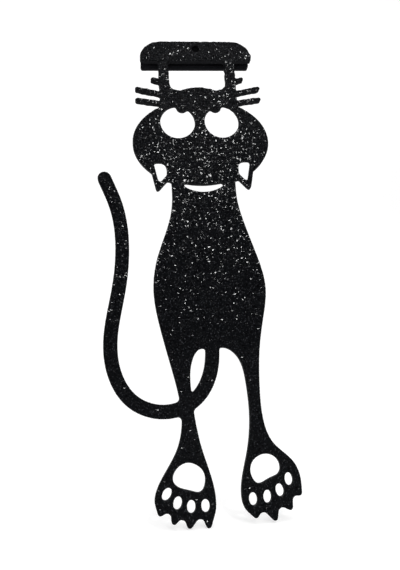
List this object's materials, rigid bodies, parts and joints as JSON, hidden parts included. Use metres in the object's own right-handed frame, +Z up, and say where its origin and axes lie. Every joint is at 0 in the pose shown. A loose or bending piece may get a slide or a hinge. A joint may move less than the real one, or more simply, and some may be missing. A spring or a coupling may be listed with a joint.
{
  "type": "hanging bookmark",
  "caption": "Flat cat-shaped bookmark that hangs by its arms from the top edge of a page, with a slotted bar, pierced eyes, ears and paws, whiskers and a long curled tail.",
  "frame": {"origin": "middle of the slot's roof, where the top edge of the page seats", "axes": "+Z up as the bookmark hangs, -Y towards the reader, +X to the reader's right"},
  "size_m": [0.0445, 0.005, 0.1201],
  "materials": {
    "plate_plastic": "near-black plastic with a pebbled, sparkling front face and smooth edges",
    "layer_plastic": "near-black plastic, smooth satin with faint layer lines",
    "pin_plastic": "near-black dull plastic"
  },
  "bodies": {
    "root": {"cat_plate": "plate_plastic", "slot_spacer": "layer_plastic", "back_lip": "layer_plastic", "layer_pin": "pin_plastic"}
  },
  "joints": []
}
